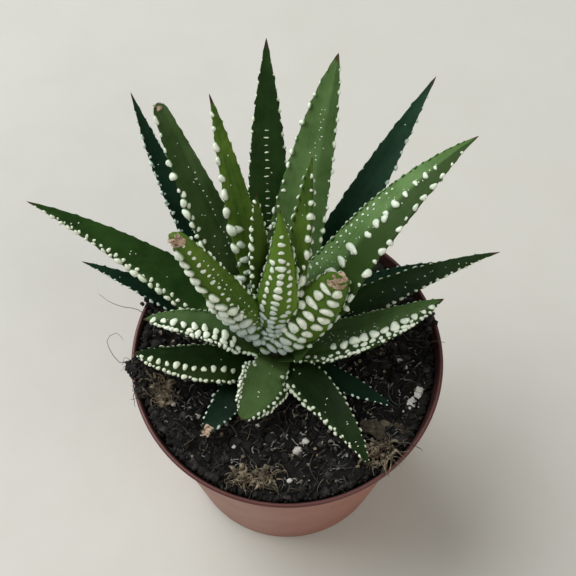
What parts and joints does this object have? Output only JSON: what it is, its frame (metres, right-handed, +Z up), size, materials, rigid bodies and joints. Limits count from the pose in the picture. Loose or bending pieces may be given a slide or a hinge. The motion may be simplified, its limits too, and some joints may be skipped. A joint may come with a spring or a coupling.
{
  "type": "potted haworthia",
  "caption": "Small rosette succulent with tapered keeled leaves and raised white bands, growing in peat in a thin tapered plastic nursery pot.",
  "frame": {"origin": "centre of the flat underside of the pot, on the surface it stands on", "axes": "+Z up through the pot; +Y towards the side that the tallest leaves lean to; +X to the right when looking along +Y"},
  "size_m": [0.1277, 0.1107, 0.1337],
  "materials": {
    "terracotta_plastic": "thin moulded terracotta-coloured plastic, satin, with a darker rim and soil marks",
    "peat": "dark damp fibrous peat with white perlite grains and fine dry roots",
    "stem_tissue": "matt tan-green stem tissue",
    "leaf_dark": "satin dark blue-green leaf skin with raised white tubercles",
    "leaf_mid": "satin mid-green leaf skin with raised white tubercles",
    "leaf_young": "satin yellow-green young leaf skin with raised white bands",
    "dry_litter": "matt straw-brown dead leaf and root fibre"
  },
  "bodies": {
    "root": {"pot": "terracotta_plastic", "soil": "peat", "stem": "stem_tissue", "leaf_01": "leaf_dark", "leaf_02": "leaf_dark", "leaf_03": "leaf_dark", "leaf_04": "leaf_dark", "leaf_05": "leaf_dark", "leaf_06": "leaf_dark", "leaf_07": "leaf_dark", "leaf_08": "leaf_mid", "leaf_09": "leaf_mid", "leaf_10": "leaf_mid", "leaf_11": "leaf_mid", "leaf_12": "leaf_mid", "leaf_13": "leaf_mid", "leaf_14": "leaf_dark", "leaf_15": "leaf_dark", "leaf_16": "leaf_mid", "leaf_17": "leaf_mid", "leaf_18": "leaf_mid", "leaf_19": "leaf_mid", "leaf_20": "leaf_young", "leaf_21": "leaf_young", "leaf_22": "leaf_young", "leaf_23": "leaf_young", "leaf_24": "leaf_young", "leaf_25": "leaf_young", "dry_leaf_left": "dry_litter", "dry_leaf_right": "dry_litter", "root_tuft_front": "dry_litter", "root_tuft_right": "dry_litter", "root_tuft_left": "dry_litter"}
  },
  "joints": []
}
